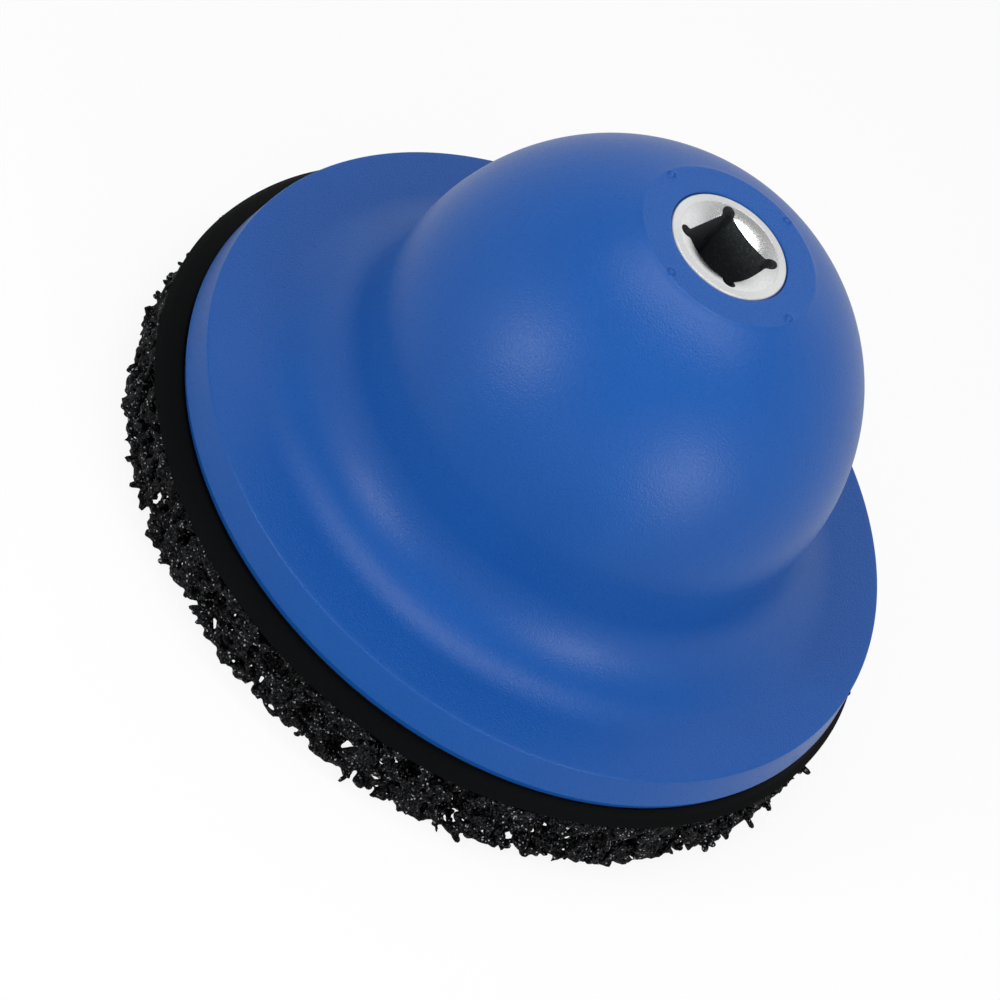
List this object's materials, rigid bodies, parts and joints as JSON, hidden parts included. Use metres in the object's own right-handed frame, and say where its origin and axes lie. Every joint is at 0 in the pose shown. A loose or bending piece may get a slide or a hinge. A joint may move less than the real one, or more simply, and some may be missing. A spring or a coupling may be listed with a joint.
{
  "type": "hub grinding bell",
  "caption": "Bell-shaped plastic hub grinder with a square-drive steel insert in its crown and a coarse open-web abrasive ring held under its flange by hook and loop.",
  "frame": {"origin": "on the drive axis, in the plane of the abrasive face that the part stands on", "axes": "+Z along the drive axis, from the abrasive face up to the crown; X and Y square to the flats of the drive socket"},
  "size_m": [0.1506, 0.1506, 0.0877],
  "materials": {
    "blue_plastic": "satin, fine spark-eroded grain",
    "turned_steel": "bright turned face, dark socket walls",
    "zinc_screw": "zinc plated",
    "hook_tape": "rows of small moulded hooks",
    "loop_fleece": "short brushed loops",
    "black_foam": "matte closed-cell foam",
    "abrasive_web": "open web of resin-coated strands with sparkling grit"
  },
  "bodies": {
    "abrasive_disc": {"abrasive_web": "abrasive_web", "foam_ring": "black_foam", "loop_ring": "loop_fleece"},
    "bell": {"bell_housing": "blue_plastic", "drive_insert": "turned_steel", "insert_screw_1": "zinc_screw", "insert_screw_2": "zinc_screw", "insert_screw_3": "zinc_screw", "insert_screw_4": "zinc_screw", "hook_ring": "hook_tape"}
  },
  "joints": [
    {"name": "bell_lift", "type": "slide", "parent": "abrasive_disc", "child": "bell", "axis": [0, 0, 1], "range_m": [0, 0.04]}
  ]
}
